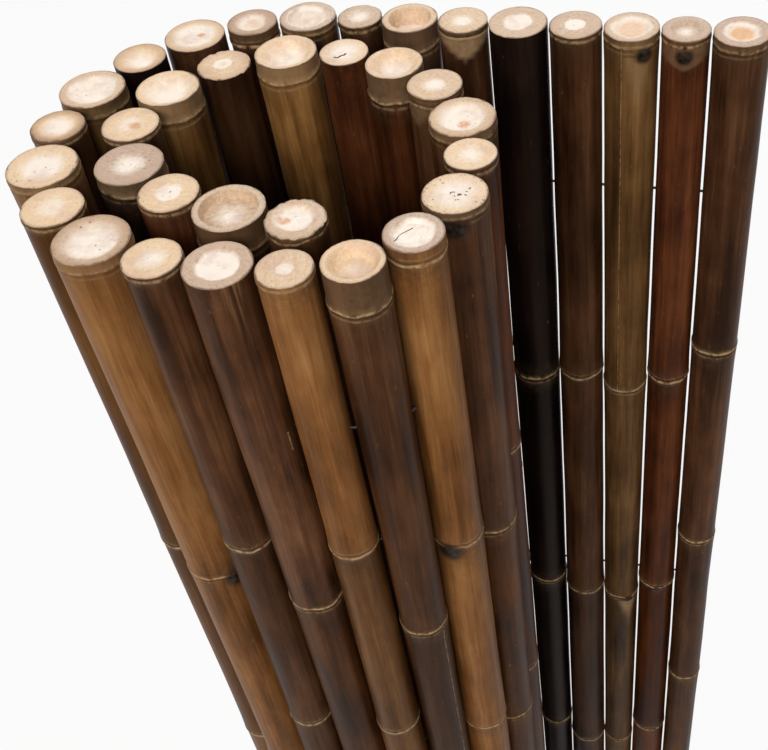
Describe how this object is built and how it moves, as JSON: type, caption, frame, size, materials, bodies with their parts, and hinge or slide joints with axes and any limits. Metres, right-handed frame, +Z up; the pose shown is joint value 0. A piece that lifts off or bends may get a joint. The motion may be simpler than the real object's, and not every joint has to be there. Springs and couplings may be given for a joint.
{
  "type": "bamboo fence panel",
  "caption": "Rolled bamboo fence panel: upright dark bamboo poles strung side by side on wires, half unrolled into a spiral with a straight free end.",
  "frame": {"origin": "on the floor, under the middle of the roll's outline in plan", "axes": "+Z up along the poles; the straight run lies along X at the back, with its free end towards +X"},
  "size_m": [0.461, 0.3032, 1.219],
  "materials": {
    "bamboo_dark": "smoked bamboo skin, satin",
    "bamboo_golden": "smoked bamboo skin, satin",
    "bamboo_olive": "smoked bamboo skin, satin",
    "bamboo_red": "smoked bamboo skin, satin",
    "bamboo_black": "smoked bamboo skin, satin",
    "galvanised_wire": "dull galvanised"
  },
  "bodies": {
    "root": {"pole_01": "bamboo_dark", "pole_02": "bamboo_red", "pole_03": "bamboo_olive", "pole_04": "bamboo_dark", "pole_05": "bamboo_black", "pole_06": "bamboo_dark", "pole_07": "bamboo_dark", "pole_08": "bamboo_dark", "pole_09": "bamboo_olive", "pole_10": "bamboo_red", "pole_11": "bamboo_dark", "pole_12": "bamboo_black", "pole_13": "bamboo_olive", "pole_14": "bamboo_dark", "pole_15": "bamboo_golden", "pole_16": "bamboo_golden", "pole_17": "bamboo_golden", "pole_18": "bamboo_dark", "pole_19": "bamboo_dark", "pole_20": "bamboo_golden", "pole_21": "bamboo_dark", "pole_22": "bamboo_golden", "pole_23": "bamboo_dark", "pole_24": "bamboo_red", "pole_25": "bamboo_dark", "pole_26": "bamboo_dark", "pole_27": "bamboo_red", "pole_28": "bamboo_red", "pole_29": "bamboo_olive", "pole_30": "bamboo_dark", "pole_31": "bamboo_olive", "pole_32": "bamboo_dark", "pole_33": "bamboo_black", "pole_34": "bamboo_red", "pole_35": "bamboo_dark", "pole_36": "bamboo_dark", "lower_wire": "galvanised_wire", "middle_wire": "galvanised_wire", "upper_wire": "galvanised_wire"}
  },
  "joints": []
}
